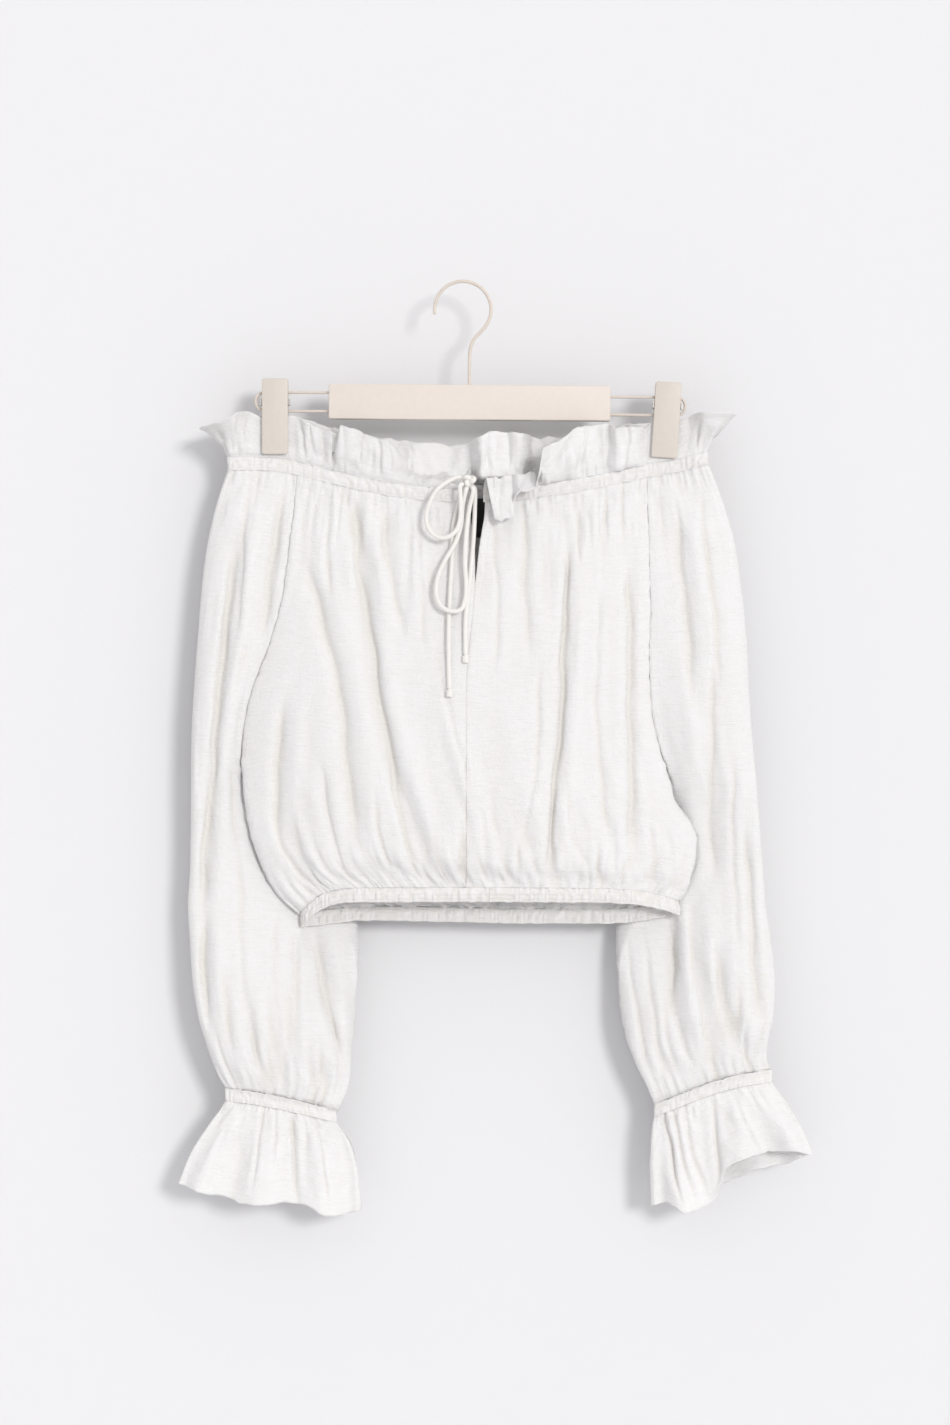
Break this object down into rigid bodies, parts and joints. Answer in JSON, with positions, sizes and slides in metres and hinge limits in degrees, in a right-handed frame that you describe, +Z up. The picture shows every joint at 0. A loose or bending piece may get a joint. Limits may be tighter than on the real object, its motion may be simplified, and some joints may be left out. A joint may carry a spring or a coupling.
{
  "type": "off-shoulder top on a clip hanger",
  "caption": "Long-sleeved off-shoulder gauze top with gathered neck ruffle, drawstring bow, elastic hem and frilled cuffs, hung by clips from a bar hanger",
  "frame": {"origin": "inside top of the hanger hook, where it rests on a rail", "axes": "+Z up, +X to the right seen from the front, +Y from the front to the back"},
  "size_m": [0.5084, 0.0778, 0.7482],
  "materials": {
    "gauze": "matte crinkled cotton gauze with slubs",
    "gauze_casing": "matte gathered gauze",
    "cord": "matte rolled fabric cord",
    "label": "satin woven, bare",
    "bar_plastic": "satin",
    "clip_plastic": "semi-gloss",
    "painted_wire": "semi-gloss",
    "spring_steel": "satin"
  },
  "bodies": {
    "root": {"front_left": "gauze", "front_right": "gauze", "back_panel": "gauze", "sleeve_left": "gauze", "sleeve_right": "gauze", "sleeve_left_head": "gauze", "sleeve_right_head": "gauze", "neck_casing": "gauze_casing", "hem_casing": "gauze_casing", "neck_ruffle": "gauze", "cuff_left": "gauze", "cuff_right": "gauze", "string_knot": "cord", "string_tail_left": "cord", "string_tail_right": "cord", "string_bow_low": "cord", "string_bow_high": "cord", "string_end_left": "cord", "string_end_right": "cord", "label": "label", "hanger_hook": "painted_wire", "hanger_bar": "bar_plastic", "hanger_arm_left": "painted_wire", "hanger_arm_right": "painted_wire", "clip_left_front_jaw": "clip_plastic", "clip_left_back_jaw": "clip_plastic", "clip_left_spring": "spring_steel", "clip_right_front_jaw": "clip_plastic", "clip_right_back_jaw": "clip_plastic", "clip_right_spring": "spring_steel"}
  },
  "joints": []
}
